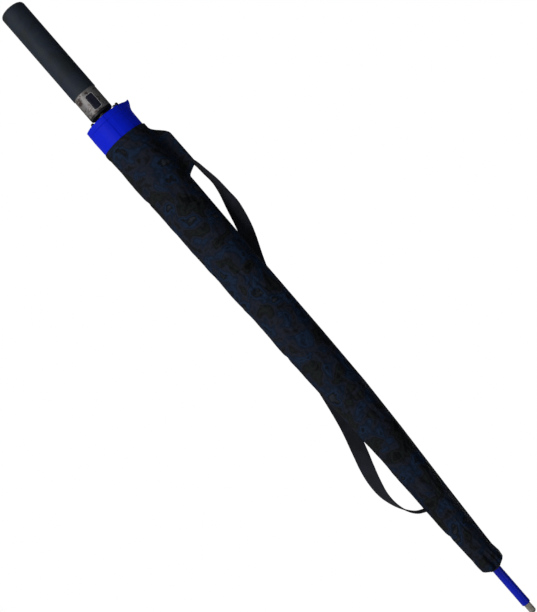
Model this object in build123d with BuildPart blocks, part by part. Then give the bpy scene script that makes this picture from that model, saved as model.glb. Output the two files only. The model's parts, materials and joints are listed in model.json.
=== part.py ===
"""Golf umbrella, closed in its carry sleeve.

Millimetres. +Z runs along the shaft from the handle to the ferrule, the way the umbrella is held
open. The origin is on the shaft's axis at the middle of the hand grip, and the push button faces -Y.
"""
import os
from math import asin, cos, degrees, radians, sin, tan

from build123d import *

os.makedirs("parts", exist_ok=True)

# ---------------------------------------------------------------- driving dimensions
# Handle and collar
GRIP_LENGTH = 139.0
GRIP_R = 17.0
GRIP_END_ROUND = 4.5
CORE_R = 11.0
COLLAR_LENGTH = 30.5
COLLAR_R = 16.3
COLLAR_WALL = 1.4
BUMPER_LENGTH = 3.5
BUMPER_INSET = 0.1
SKIRT_WALL = 1.34         # the runner's skirt, which stands in the collar when closed
SKIRT_DEPTH = 9.0

# Shaft, ferrule and tip
SHAFT_R = 5.0
SHAFT_WALL = 0.8
FERRULE_WALL = 0.9
FERRULE_LENGTH = 96.4
FERRULE_BASE_LIP = 1.6
FERRULE_BASE_HEIGHT = 4.0
TIP_R = 4.4
TIP_LENGTH = 14.6
TIP_ROUND = 3.2
SPIGOT_LENGTH = 12.0

# Ribs and stretchers
RIB_COUNT = 8
RIB_LENGTH = 695.0
ROD_R = 1.5
ROD_OFFSET = 3.4          # rod's centre line, outside the line through the rib's two hinges
STRETCHER_LENGTH = 318.0  # hinge to hinge; the rib's joint is as far from its own hinge
RING_FROM_SHAFT = 3.2     # out to the wire rings that the ribs and stretchers turn on
WIRE_R = 0.6
CLOSED_TIP_SPREAD = 13.0  # how far a closed rib's tip leans out from its hinge
OPEN_ANGLE = 70.0         # rib from the shaft, fully open, in degrees
TIP_FROM_BUMPER = 6.1     # closed rib tip above the bumper

# Sheet metal at the joints
EYE_THICK = 1.6
EYE_R = 1.7
CLIP_SHEET = 0.6
CLIP_LENGTH = 7.0
RIVET_R = 0.7
STRETCHER_THICK = 2.4
STRETCHER_WIDTH = 3.0

# Crowns
CROWN_PAST_RING = 3.0
CROWN_HALF = 4.0
RUNNER_LENGTH = 68.0
RUNNER_CROWN_HALF = 5.0
CAP_PAST_CROWN = 0.8
CAP_HEIGHT = 2.7

# Canopy
FABRIC_GAP = 0.3          # folded fabric to the clip on the rod
FOLD_THICK = 1.2
GORE_GAP_DEG = 4.0

# Carry sleeve and strap
SLEEVE_WALL = 0.8
MOUTH_FROM_BUMPER = 42.5
SLEEVE_PAST_CAP = 36.5     # the gathered end, above the canopy's cap
BINDING_HEIGHT = 8.0
BINDING_THICK = 0.6
FLAP_THICK = 5.0
STRAP_WIDTH = 20.0
STRAP_THICK = 1.6

# Button and catch
BUTTON_TURN = -10.0       # degrees round from the front
BUTTON_LENGTH = 20.0
BUTTON_WIDTH = 9.6
BUTTON_CORNER = 2.0
FLANGE_CORNER = 2.5
BUTTON_PROUD = 0.7
BUTTON_TRAVEL = 2.2
BUTTON_STEM_GAP = 1.4
LEVER_FROM_SHAFT = 3.5
LEVER_THICK = 1.2
LEVER_WIDTH = 5.0
LEVER_LENGTH = 22.0
LEVER_TAIL = 2.0          # below its pivot

# Clearances
RUN_GAP = 0.06            # a part that slides or turns on another
PIN_GAP = 0.05
SLOT_GAP = 0.25
LOOSE_GAP = 0.3

# ---------------------------------------------------------------- places worked out from them
SKIRT_R = SHAFT_R + RUN_GAP + SKIRT_WALL
FERRULE_R = SHAFT_R + FERRULE_WALL
FERRULE_BASE_R = FERRULE_R + FERRULE_BASE_LIP
RING_R = SHAFT_R + RING_FROM_SHAFT
CROWN_R = RING_R + CROWN_PAST_RING
CAP_R = CROWN_R + CAP_PAST_CROWN
LEVER_INNER_R = SHAFT_R + LEVER_FROM_SHAFT
FABRIC_OFFSET = ROD_OFFSET + ROD_R + CLIP_SHEET + FABRIC_GAP   # its inner face, from the hinge line
Z_GRIP_END = -GRIP_LENGTH / 2
Z_COLLAR = GRIP_LENGTH / 2
Z_BUMPER = Z_COLLAR + COLLAR_LENGTH
Z_BUMPER_TOP = Z_BUMPER + BUMPER_LENGTH
Z_RIB_TIP = Z_BUMPER_TOP + TIP_FROM_BUMPER
CLOSED_ANGLE = degrees(asin(CLOSED_TIP_SPREAD / RIB_LENGTH))
Z_NOTCH = Z_RIB_TIP + RIB_LENGTH * cos(radians(CLOSED_ANGLE))
Z_RUNNER = Z_NOTCH - 2 * STRETCHER_LENGTH * cos(radians(CLOSED_ANGLE))
RUNNER_TRAVEL = Z_NOTCH - 2 * STRETCHER_LENGTH * cos(radians(OPEN_ANGLE)) - Z_RUNNER
CLAMP_HEIGHT = 2.3        # fabric centre and washer between crown and cap
Z_WASHER = Z_NOTCH + CROWN_HALF
Z_CAP = Z_WASHER + CLAMP_HEIGHT
Z_FERRULE = Z_CAP + CAP_HEIGHT
Z_FERRULE_TOP = Z_FERRULE + FERRULE_LENGTH
Z_MOUTH = Z_BUMPER_TOP + MOUTH_FROM_BUMPER
Z_SLEEVE_END = Z_FERRULE + SLEEVE_PAST_CAP
SLEEVE_LENGTH = Z_SLEEVE_END - Z_MOUTH
STEP_DEG = 360 / RIB_COUNT

CLOSED_DOWN = (sin(radians(CLOSED_ANGLE)), 0, -cos(radians(CLOSED_ANGLE)))
CLOSED_IN = (-sin(radians(CLOSED_ANGLE)), 0, -cos(radians(CLOSED_ANGLE)))
# Local x runs along the rib from its hinge, local y points away from the shaft.
RIB_PLANE = Plane(origin=(RING_R, 0, Z_NOTCH), x_dir=CLOSED_DOWN, z_dir=(0, -1, 0))
STRETCHER_PLANE = Plane(
    origin=RIB_PLANE.from_local_coords((STRETCHER_LENGTH, 0, 0)), x_dir=CLOSED_IN, z_dir=(0, -1, 0)
)

pieces = {}


def keep(name, shape):
    """Labels a finished piece and writes its STEP file."""
    shape.label = name
    pieces[name] = shape
    export_step(shape, f"parts/{name}.step")


def across_rib(s, offset):
    """The plane square to a closed rib, s along it and offset out from its hinge line."""
    return Plane(origin=RIB_PLANE.from_local_coords((s, offset, 0)), x_dir=(0, 1, 0), z_dir=CLOSED_DOWN)


def around(shape, index):
    """A copy of a piece made at the first rib, turned to rib number index."""
    return shape.rotate(Axis.Z, index * STEP_DEG)


# ---------------------------------------------------------------- handle
with BuildPart() as grip:
    with BuildSketch(Plane.XY.offset(Z_GRIP_END)):
        Circle(GRIP_R)
        Circle(CORE_R, mode=Mode.SUBTRACT)
    extrude(amount=GRIP_LENGTH)
    fillet(grip.edges().group_by(Axis.Z)[0].sort_by(SortBy.RADIUS)[-1], GRIP_END_ROUND)
keep("handle_grip", grip.part)

CAP_PLUG = 6.0
with BuildPart() as end_cap:
    with BuildSketch(Plane.XY.offset(Z_GRIP_END)):
        Circle(CORE_R - RUN_GAP)
    extrude(amount=CAP_PLUG)
    fillet(end_cap.edges().group_by(Axis.Z)[0], 1.0)
keep("handle_end_cap", end_cap.part)

BUTTON_FROM_TOP = 3.2     # button's upper end, below the collar's top
FLANGE_LIP = 0.9
CORE_GAP = 0.9            # core's top, below the button's flange
PIVOT_DEPTH = 1.0
Z_CORE = Z_GRIP_END + CAP_PLUG
Z_BUTTON = Z_BUMPER - BUTTON_FROM_TOP - BUTTON_LENGTH / 2
Z_CORE_TOP = Z_BUTTON - BUTTON_LENGTH / 2 - FLANGE_LIP - CORE_GAP
Z_CATCH = Z_CORE_TOP - PIVOT_DEPTH
FRONT = -90 + BUTTON_TURN
FRONT_DIR = (cos(radians(FRONT)), sin(radians(FRONT)), 0)
SIDE_DIR = (-sin(radians(FRONT)), cos(radians(FRONT)), 0)
FRONT_PLANE = Plane(origin=(0, 0, Z_CATCH), x_dir=SIDE_DIR, z_dir=FRONT_DIR)
LEVER_MID_R = LEVER_INNER_R + LEVER_THICK / 2
CATCH_PIN_R = 0.5
CORE_WALL = 1.2           # left between the shaft and the lever's slot
LEVER_PIT = 3.5           # the core's slot goes this far below the lever's pivot
CATCH_PIN_LENGTH = 11.0
CATCH_PLANE = Plane(
    origin=(FRONT_DIR[0] * LEVER_MID_R, FRONT_DIR[1] * LEVER_MID_R, Z_CATCH), x_dir=FRONT_DIR, z_dir=SIDE_DIR
)
with BuildPart() as core:
    with BuildSketch(Plane.XY.offset(Z_CORE)):
        Circle(CORE_R)
        Circle(SHAFT_R, mode=Mode.SUBTRACT)
    extrude(amount=Z_CORE_TOP - Z_CORE)
    with BuildSketch(FRONT_PLANE.offset(SHAFT_R + CORE_WALL)):
        with Locations((0, -LEVER_PIT)):
            Rectangle(
                LEVER_WIDTH + 2 * LOOSE_GAP, LEVER_PIT + CORE_R, align=(Align.CENTER, Align.MIN)
            )
    extrude(amount=CORE_R, mode=Mode.SUBTRACT)
    with BuildSketch(CATCH_PLANE):
        Circle(CATCH_PIN_R)
    extrude(amount=CATCH_PIN_LENGTH / 2, both=True, mode=Mode.SUBTRACT)
keep("handle_core", core.part)

# ---------------------------------------------------------------- shaft
SHAFT_TOP_GAP = 18.0      # shaft ends this far below the ferrule's top
STOP_R = 1.0
STOP_PROUD = 2.2
Z_RUNNER_TOP = Z_RUNNER + RUNNER_CROWN_HALF
STOP_PLANE = Plane(
    origin=(0, 0, Z_RUNNER_TOP + RUNNER_TRAVEL + STOP_R + LOOSE_GAP), x_dir=(0, 1, 0), z_dir=(1, 0, 0)
)
with BuildPart() as shaft:
    with BuildSketch(Plane.XY.offset(Z_CORE + 1)):
        Circle(SHAFT_R)
        Circle(SHAFT_R - SHAFT_WALL, mode=Mode.SUBTRACT)
    extrude(amount=Z_FERRULE_TOP - SHAFT_TOP_GAP - Z_CORE - 1)
    with BuildSketch(STOP_PLANE):
        Circle(STOP_R)
    extrude(amount=SHAFT_R, both=True, mode=Mode.SUBTRACT)
keep("shaft", shaft.part)

# ---------------------------------------------------------------- collar, bumper, button and catch
BUTTON_PLANE = Plane(origin=(0, 0, Z_BUTTON), x_dir=SIDE_DIR, z_dir=FRONT_DIR)
COLLAR_TOP_WALL = 1.6
with BuildPart() as collar:
    with BuildSketch(Plane.XY.offset(Z_COLLAR)):
        Circle(COLLAR_R)
        Circle(COLLAR_R - COLLAR_WALL, mode=Mode.SUBTRACT)
    extrude(amount=COLLAR_LENGTH)
    with BuildSketch(Plane.XY.offset(Z_BUMPER - COLLAR_TOP_WALL)):
        Circle(COLLAR_R - COLLAR_WALL / 2)
        Circle(SKIRT_R + SLOT_GAP, mode=Mode.SUBTRACT)
    extrude(amount=COLLAR_TOP_WALL)
    with BuildSketch(BUTTON_PLANE):
        RectangleRounded(BUTTON_WIDTH + 2 * SLOT_GAP, BUTTON_LENGTH + 2 * SLOT_GAP, BUTTON_CORNER + SLOT_GAP)
    extrude(amount=COLLAR_R + 2, mode=Mode.SUBTRACT)
keep("button_collar", collar.part)

with BuildPart() as bumper:
    with BuildSketch(Plane.XY.offset(Z_BUMPER)):
        Circle(COLLAR_R - BUMPER_INSET)
        Circle(SKIRT_R + SLOT_GAP, mode=Mode.SUBTRACT)
    extrude(amount=BUMPER_LENGTH)
    fillet(bumper.edges().group_by(Axis.Z)[-1].sort_by(SortBy.RADIUS)[-1], 1.2)
keep("collar_bumper", bumper.part)

FLANGE_GAP = 0.5          # between the button's flange and the collar's inside
FLANGE_THICK = 1.2
FLANGE_SAG = 0.8          # the flange is flat, so its middle stands this far in from the round wall
FLANGE_R = COLLAR_R - COLLAR_WALL - FLANGE_GAP - FLANGE_SAG
STEM_R = 1.8
STEM_DROP = 0.8           # below the button's middle
STEM_R_INNER = LEVER_INNER_R + LEVER_THICK + BUTTON_STEM_GAP
Z_STEM = Z_BUTTON - STEM_DROP
with BuildPart() as button:
    with BuildSketch(BUTTON_PLANE.offset(FLANGE_R - FLANGE_THICK)):
        RectangleRounded(BUTTON_WIDTH, BUTTON_LENGTH, BUTTON_CORNER)
    extrude(amount=COLLAR_R + BUTTON_PROUD - FLANGE_R + FLANGE_THICK)
    with BuildSketch(Plane.XY.offset(Z_BUTTON)):
        Circle(COLLAR_R + BUTTON_PROUD)
    extrude(amount=BUTTON_LENGTH, both=True, mode=Mode.INTERSECT)
    fillet(button.faces().filter_by(GeomType.CYLINDER).sort_by(SortBy.AREA)[-1].edges(), 0.4)
    with BuildSketch(BUTTON_PLANE.offset(FLANGE_R - FLANGE_THICK)):
        RectangleRounded(BUTTON_WIDTH + 2 * FLANGE_LIP, BUTTON_LENGTH + 2 * FLANGE_LIP, FLANGE_CORNER)
    extrude(amount=FLANGE_THICK)
    with BuildSketch(BUTTON_PLANE.offset(STEM_R_INNER)):
        with Locations((0, Z_STEM - Z_BUTTON)):
            Circle(STEM_R)
    extrude(amount=FLANGE_R - FLANGE_THICK - STEM_R_INNER)
keep("push_button", button.part)

# A leaf spring, clamped on the core beside the lever, presses out on the lower end of the button's flange.
SPRING_THICK = 0.4
SPRING_WIDTH = 2.4
SPRING_SIDE = 4.6         # from the button's centre line to the leaf's
SPRING_FOOT_R = 7.0       # where its foot starts on the core, and where the leaf bends up from it
SPRING_BEND_R = 8.0
FLANGE_INNER_R = FLANGE_R - FLANGE_THICK
Z_SPRING_TOP = Z_BUTTON - BUTTON_LENGTH / 2 + 3.0
SPRING_PLANE = Plane(
    origin=(SIDE_DIR[0] * SPRING_SIDE, SIDE_DIR[1] * SPRING_SIDE, Z_CORE_TOP),
    x_dir=FRONT_DIR, z_dir=(-SIDE_DIR[0], -SIDE_DIR[1], 0),
)
with BuildPart() as button_spring:
    with BuildSketch(SPRING_PLANE):
        with BuildLine():
            Polyline(
                (SPRING_FOOT_R, SPRING_THICK / 2), (SPRING_BEND_R, SPRING_THICK / 2),
                (FLANGE_INNER_R - SPRING_THICK, Z_SPRING_TOP - Z_CORE_TOP),
            )
        trace(line_width=SPRING_THICK)
    extrude(amount=SPRING_WIDTH / 2, both=True)
keep("button_spring", button_spring.part)

with BuildPart() as lever:
    with BuildSketch(FRONT_PLANE.offset(LEVER_INNER_R)):
        with Locations((0, LEVER_LENGTH / 2 - LEVER_TAIL)):
            Rectangle(LEVER_WIDTH, LEVER_LENGTH)
    extrude(amount=LEVER_THICK)
    with BuildSketch(CATCH_PLANE):
        Circle(LEVER_THICK)
    extrude(amount=LEVER_WIDTH / 2, both=True)
    with BuildSketch(CATCH_PLANE):
        Circle(CATCH_PIN_R + PIN_GAP)
    extrude(amount=LEVER_WIDTH, both=True, mode=Mode.SUBTRACT)
keep("catch_lever", lever.part)

with BuildPart() as catch_pin:
    with BuildSketch(CATCH_PLANE):
        Circle(CATCH_PIN_R)
    extrude(amount=CATCH_PIN_LENGTH / 2, both=True)
keep("catch_pin", catch_pin.part)

# ---------------------------------------------------------------- notch, washer, cap, ferrule, tip
with BuildPart() as notch:
    with BuildSketch(Plane.XY.offset(Z_NOTCH - CROWN_HALF)):
        Circle(CROWN_R)
        Circle(SHAFT_R, mode=Mode.SUBTRACT)
    extrude(amount=2 * CROWN_HALF)
    chamfer(notch.edges().filter_by(GeomType.CIRCLE).sort_by(SortBy.RADIUS)[-2:], 0.8)
    with BuildSketch(Plane.XY.offset(Z_NOTCH - CROWN_HALF)):
        with PolarLocations((RING_R - EYE_R - 0.5 + CROWN_R) / 2, RIB_COUNT):
            Rectangle(CROWN_R, EYE_THICK + 2 * SLOT_GAP)
        Circle(RING_R - EYE_R - 0.5, mode=Mode.SUBTRACT)
    extrude(amount=2 * CROWN_HALF, mode=Mode.SUBTRACT)
    with BuildSketch(Plane.XZ):
        with Locations((RING_R, Z_NOTCH)):
            Circle(WIRE_R)
    revolve(axis=Axis.Z, mode=Mode.SUBTRACT)
keep("notch_crown", notch.part)

with BuildPart() as notch_ring:
    with BuildSketch(Plane.XZ):
        with Locations((RING_R, Z_NOTCH)):
            Circle(WIRE_R)
    revolve(axis=Axis.Z)
keep("notch_ring", notch_ring.part)

with BuildPart() as washer:
    with BuildSketch(Plane.XY.offset(Z_WASHER)):
        Circle(RING_R)
        Circle(SHAFT_R, mode=Mode.SUBTRACT)
    extrude(amount=CLAMP_HEIGHT)
keep("canopy_washer", washer.part)

with BuildPart() as cap:
    with BuildSketch(Plane.XY.offset(Z_CAP)):
        Circle(CAP_R)
        Circle(SHAFT_R, mode=Mode.SUBTRACT)
    extrude(amount=CAP_HEIGHT)
    fillet(cap.edges().group_by(Axis.Z)[-1].sort_by(SortBy.RADIUS)[-1], 1.8)
keep("canopy_cap", cap.part)

with BuildPart() as ferrule:
    with BuildSketch(Plane.XY.offset(Z_FERRULE)):
        Circle(FERRULE_R)
        Circle(SHAFT_R, mode=Mode.SUBTRACT)
    extrude(amount=FERRULE_LENGTH)
    with BuildSketch(Plane.XY.offset(Z_FERRULE)):
        Circle(FERRULE_BASE_R)
        Circle(SHAFT_R, mode=Mode.SUBTRACT)
    extrude(amount=FERRULE_BASE_HEIGHT)
    fillet(ferrule.edges().group_by(Axis.Z)[-1].sort_by(SortBy.RADIUS)[-1], 0.5)
keep("ferrule", ferrule.part)

with BuildPart() as tip:
    with BuildSketch(Plane.XY.offset(Z_FERRULE_TOP)):
        Circle(TIP_R)
    extrude(amount=TIP_LENGTH)
    fillet(tip.edges().group_by(Axis.Z)[-1], TIP_ROUND)
    with BuildSketch(Plane.XY.offset(Z_FERRULE_TOP - SPIGOT_LENGTH)):
        Circle(SHAFT_R - RUN_GAP)
    extrude(amount=SPIGOT_LENGTH)
keep("ferrule_tip", tip.part)

# ---------------------------------------------------------------- runner and its stop
SLOT_FLOOR_R = RING_R - STRETCHER_WIDTH / 2 - LOOSE_GAP
RUNNER_SLOT = STRETCHER_THICK + 2 * SLOT_GAP
Z_RUNNER_FOOT = Z_RUNNER_TOP - RUNNER_LENGTH
GRIP_FLANGE_R = 10.6
GRIP_FLANGE_LENGTH = 9.0
with BuildPart() as runner:
    with BuildSketch(Plane.XY.offset(Z_RUNNER_FOOT)):
        Circle(SLOT_FLOOR_R)
    extrude(amount=RUNNER_LENGTH)
    with BuildSketch(Plane.XY.offset(Z_RUNNER - RUNNER_CROWN_HALF)):
        Circle(CROWN_R)
    extrude(amount=2 * RUNNER_CROWN_HALF)
    with BuildSketch(Plane.XY.offset(Z_RUNNER_FOOT)):
        Circle(GRIP_FLANGE_R)
    extrude(amount=GRIP_FLANGE_LENGTH, taper=8)
    with BuildSketch(Plane.XY.offset(Z_RUNNER_FOOT)):
        with PolarLocations(CROWN_R, RIB_COUNT):
            Rectangle(CROWN_R, RUNNER_SLOT)
        Circle(SLOT_FLOOR_R, mode=Mode.SUBTRACT)
    extrude(amount=RUNNER_LENGTH, mode=Mode.SUBTRACT)
    with BuildSketch(Plane.XY.offset(Z_BUMPER - SKIRT_DEPTH)):
        Circle(SKIRT_R)
    extrude(amount=Z_RUNNER_FOOT - Z_BUMPER + SKIRT_DEPTH)
    with BuildSketch(Plane.XY.offset(Z_BUMPER - SKIRT_DEPTH)):
        Circle(SHAFT_R + RUN_GAP)
    extrude(amount=Z_RUNNER_TOP - Z_BUMPER + SKIRT_DEPTH, mode=Mode.SUBTRACT)
    with BuildSketch(Plane.XZ):
        with Locations((RING_R, Z_RUNNER)):
            Circle(WIRE_R)
    revolve(axis=Axis.Z, mode=Mode.SUBTRACT)
keep("runner", runner.part)

# The wire is left out where it would cross a slot, so that the stretchers' ends are free to part from it.
with BuildPart() as runner_ring:
    with BuildSketch(Plane.XZ):
        with Locations((RING_R, Z_RUNNER)):
            Circle(WIRE_R)
    revolve(axis=Axis.Z)
    with BuildSketch(Plane.XY.offset(Z_RUNNER - RUNNER_CROWN_HALF)):
        with PolarLocations(CROWN_R, RIB_COUNT):
            Rectangle(CROWN_R, RUNNER_SLOT)
    extrude(amount=2 * RUNNER_CROWN_HALF, mode=Mode.SUBTRACT)
keep("runner_ring", runner_ring.part)

with BuildPart() as top_stop:
    with BuildSketch(STOP_PLANE):
        Circle(STOP_R)
    extrude(amount=SHAFT_R + STOP_PROUD, both=True)
keep("top_stop", top_stop.part)

# ---------------------------------------------------------------- one rib, its fittings and its stretcher
ROD_START = 10.0
SOCKET_START = 9.0
SOCKET_LENGTH = 11.0
SOCKET_R = ROD_R + CLIP_SHEET
with BuildPart() as rib:
    with BuildSketch(across_rib(ROD_START, ROD_OFFSET)):
        Circle(ROD_R)
    extrude(amount=RIB_LENGTH - ROD_START)

with BuildPart() as eye:
    with BuildSketch(RIB_PLANE):
        Circle(EYE_R)
        with BuildLine():
            Polyline(
                (0, EYE_R), (SOCKET_START, ROD_OFFSET + 0.8), (SOCKET_START + 3, ROD_OFFSET),
                (SOCKET_START + 3, ROD_OFFSET - ROD_R), (0, -EYE_R), close=True,
            )
        make_face()
    extrude(amount=EYE_THICK / 2, both=True)
    with BuildSketch(across_rib(SOCKET_START, ROD_OFFSET)):
        Circle(SOCKET_R)
    extrude(amount=SOCKET_LENGTH)
    with BuildSketch(across_rib(ROD_START, ROD_OFFSET)):
        Circle(ROD_R)
    extrude(amount=RIB_LENGTH, mode=Mode.SUBTRACT)
    with BuildSketch(RIB_PLANE):
        Circle(WIRE_R + 0.15)
    extrude(amount=EYE_THICK, both=True, mode=Mode.SUBTRACT)

LEG_END = 1.7             # the clip's legs reach this far past the pivot
with BuildPart() as clip:
    with BuildSketch(across_rib(STRETCHER_LENGTH - CLIP_LENGTH / 2, ROD_OFFSET)) as wrap:
        Circle(SOCKET_R)
        with Locations((0, -(ROD_OFFSET + LEG_END) / 2)):
            Rectangle(2 * SOCKET_R, ROD_OFFSET + LEG_END)
        Circle(ROD_R, mode=Mode.SUBTRACT)
        with Locations((0, -(ROD_OFFSET + LEG_END) / 2)):
            Rectangle(2 * ROD_R, ROD_OFFSET + LEG_END, mode=Mode.SUBTRACT)
    extrude(amount=CLIP_LENGTH)
    with BuildSketch(STRETCHER_PLANE):
        Circle(RIVET_R)
    extrude(amount=SOCKET_R, both=True, mode=Mode.SUBTRACT)

with BuildPart() as rivet:
    with BuildSketch(STRETCHER_PLANE):
        Circle(RIVET_R)
    extrude(amount=SOCKET_R, both=True)

TIP_CAP_WALL = 0.5
TIP_CAP_R = ROD_R + TIP_CAP_WALL
TIP_CAP_LENGTH = 9.0
with BuildPart() as tip_cap:
    with BuildSketch(across_rib(RIB_LENGTH - TIP_CAP_LENGTH + 2.5, ROD_OFFSET)):
        Circle(TIP_CAP_R)
    extrude(amount=TIP_CAP_LENGTH)
    fillet(tip_cap.edges().sort_by(Axis.Z)[0], 1.4)
    with BuildSketch(across_rib(RIB_LENGTH - TIP_CAP_LENGTH, ROD_OFFSET)):
        Circle(ROD_R)
    extrude(amount=TIP_CAP_LENGTH, mode=Mode.SUBTRACT)

CHANNEL_WALL = 0.5
CHANNEL_END = 10.0
with BuildPart() as stretcher:
    with BuildSketch(STRETCHER_PLANE):
        with Locations((STRETCHER_LENGTH / 2, 0)):
            SlotCenterToCenter(STRETCHER_LENGTH, STRETCHER_WIDTH)
    extrude(amount=STRETCHER_THICK / 2, both=True)
    with BuildSketch(STRETCHER_PLANE):
        with Locations((STRETCHER_LENGTH / 2, CHANNEL_WALL * 2)):
            Rectangle(STRETCHER_LENGTH - 2 * CHANNEL_END, STRETCHER_WIDTH)
    extrude(amount=STRETCHER_THICK / 2 - CHANNEL_WALL, both=True, mode=Mode.SUBTRACT)
    with BuildSketch(STRETCHER_PLANE):
        Circle(RIVET_R + PIN_GAP)
        with Locations((STRETCHER_LENGTH, 0)):
            Circle(WIRE_R + LOOSE_GAP)
    extrude(amount=STRETCHER_THICK, both=True, mode=Mode.SUBTRACT)

# ---------------------------------------------------------------- one folded gore of the canopy
FABRIC_START = 1.0
GORE_TURN = STEP_DEG - GORE_GAP_DEG / 2   # the revolve runs back from its own plane


def on_rib(s, offset):
    """Radius and height of a point of the closed rib's own plane."""
    p = RIB_PLANE.from_local_coords((s, offset, 0))
    return (p.X, p.Z)


with BuildPart() as gore:
    with BuildSketch(Plane.XZ):
        with BuildLine():
            Polyline(
                on_rib(FABRIC_START, FABRIC_OFFSET), on_rib(FABRIC_START, FABRIC_OFFSET + FOLD_THICK),
                on_rib(RIB_LENGTH, FABRIC_OFFSET + FOLD_THICK), on_rib(RIB_LENGTH, FABRIC_OFFSET), close=True,
            )
        make_face()
    revolve(axis=Axis.Z, revolution_arc=STEP_DEG - GORE_GAP_DEG)
gore_shape = gore.part.rotate(Axis.Z, GORE_TURN)

for number in range(RIB_COUNT):
    keep(f"rib_{number + 1}", around(rib.part, number))
    fittings = Compound(children=[around(p.part, number) for p in (eye, clip, rivet, tip_cap)])
    keep(f"rib_fittings_{number + 1}", fittings)
    keep(f"stretcher_{number + 1}", around(stretcher.part, number))
    keep(f"gore_{number + 1}", around(gore_shape, number))

# ---------------------------------------------------------------- canopy closure tab, on the front rib
TAB_LENGTH = 95.0
TAB_WIDTH = 15.0
TAB_THICK = 1.0
TAB_START = 480.0
with BuildPart() as tab:
    tab_plane = Plane(
        origin=RIB_PLANE.from_local_coords((TAB_START, FABRIC_OFFSET + FOLD_THICK + TAB_THICK / 2 + 0.4, 0)),
        x_dir=CLOSED_DOWN, z_dir=RIB_PLANE.y_dir,
    )
    with BuildSketch(tab_plane):
        with Locations((TAB_LENGTH / 2, 0)):
            RectangleRounded(TAB_LENGTH, TAB_WIDTH / 2, 3.0)
    extrude(amount=TAB_THICK / 2, both=True)
FRONT_RIB = 3 * RIB_COUNT // 4
keep("closure_tab", around(tab.part, FRONT_RIB))

# ---------------------------------------------------------------- carry sleeve
# Height above the mouth as a share of the length, then the room left round the folded canopy to +X, to -X
# and to the back and front. The last two rings draw in to the cord.
SLEEVE_STATIONS = [
    (0.000, 2.9, 5.1, 3.5), (0.140, 3.3, 7.3, 4.1), (0.310, 3.4, 8.4, 3.8), (0.480, 3.4, 10.1, 3.6),
    (0.600, 3.2, 10.6, 3.2), (0.700, 2.7, 8.5, 2.7), (0.835, 2.4, 4.7, 2.8), (0.935, 2.1, 2.3, 2.2),
    (0.965, 0.4, 0.4, 0.4), (0.982, 0.4, 1.5, 0.4),
]
DRAWN_IN = [(0.994, 5.6, 6.0, 5.6), (1.000, 1.2, 1.2, 1.2)]
END_HOLE_GAP = 0.5
END_HOLE_R = FERRULE_R + END_HOLE_GAP


def sleeve_section(right, left, depth, inset):
    """Draws the sleeve's oval, drawn in by inset all round."""
    with Locations(((right - left) / 2, 0)):
        Ellipse((right + left) / 2 - inset, depth - inset)


def bundle_radius(share):
    """Outside of the folded canopy at a share of the sleeve's length."""
    below_notch = max(Z_NOTCH - Z_MOUTH - share * SLEEVE_LENGTH, 0)
    return RING_R + below_notch * tan(radians(CLOSED_ANGLE)) + FABRIC_OFFSET + FOLD_THICK


def sleeve_reaches():
    """Each ring of the sleeve as its share of the length and its reach to +X, to -X and to the back."""
    rings = [
        (share, *(bundle_radius(share) + room for room in rooms)) for share, *rooms in SLEEVE_STATIONS
    ]
    return rings + [(share, *(END_HOLE_R + room for room in rooms)) for share, *rooms in DRAWN_IN]


def sleeve_loft(inset, drop):
    """The sleeve's solid form, drawn in by inset all round and lowered by drop."""
    with BuildPart() as form:
        for share, right, left, depth in sleeve_reaches():
            with BuildSketch(Plane.XY.offset(Z_MOUTH - drop + share * SLEEVE_LENGTH)):
                sleeve_section(right, left, depth, inset)
        loft()
    return form.part


sleeve_form = sleeve_loft(0, 0)
sleeve_cavity = sleeve_loft(SLEEVE_WALL, SLEEVE_WALL)

# Shoulder strap: x, y and height above the mouth of its middle, and its turn from edge-on to flat.
# The heights are for a sleeve of STRAP_DRAWN_FOR and stretch with the sleeve.
STRAP_DRAWN_FOR = 704.0
STRAP_ROUTE = [
    (-48.0, 0.0, 80, 0), (-50.0, 0.5, 94, 4), (-52.0, 2.0, 112, 18), (-51.0, 5.0, 132, 40),
    (-47.0, 9.5, 153, 66), (-39.0, 17.0, 184, 85), (-25.5, 27.0, 222, 90), (-12.0, 31.0, 262, 90),
    (0.0, 31.0, 315, 90), (10.0, 29.0, 376, 90), (22.0, 25.0, 446, 90), (33.0, 16.0, 486, 80),
    (39.5, 9.5, 507, 66), (44.0, 6.0, 526, 50), (46.0, 4.0, 545, 32), (43.5, 2.0, 563, 16),
    (36.5, 1.0, 576, 6), (27.5, 0.5, 586, 2), (17.2, 0.0, 593, 0),
]
route = [Vector(x, y, Z_MOUTH + h * SLEEVE_LENGTH / STRAP_DRAWN_FOR) for x, y, h, _ in STRAP_ROUTE]
with BuildPart() as strap:
    for n, turned in enumerate(row[3] for row in STRAP_ROUTE):
        before = route[max(n - 1, 0)]
        after = route[min(n + 1, len(route) - 1)]
        along = (after - before).normalized()
        edge_on = (Vector(0, 1, 0) - along * along.Y).normalized()
        flat = edge_on.cross(along).normalized()
        turn = radians(turned)
        with BuildSketch(Plane(origin=route[n], x_dir=edge_on * cos(turn) + flat * sin(turn), z_dir=along)):
            Rectangle(STRAP_WIDTH, STRAP_THICK)
    loft(ruled=True)
    add(sleeve_form, mode=Mode.SUBTRACT)
keep("shoulder_strap", strap.part)

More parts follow.
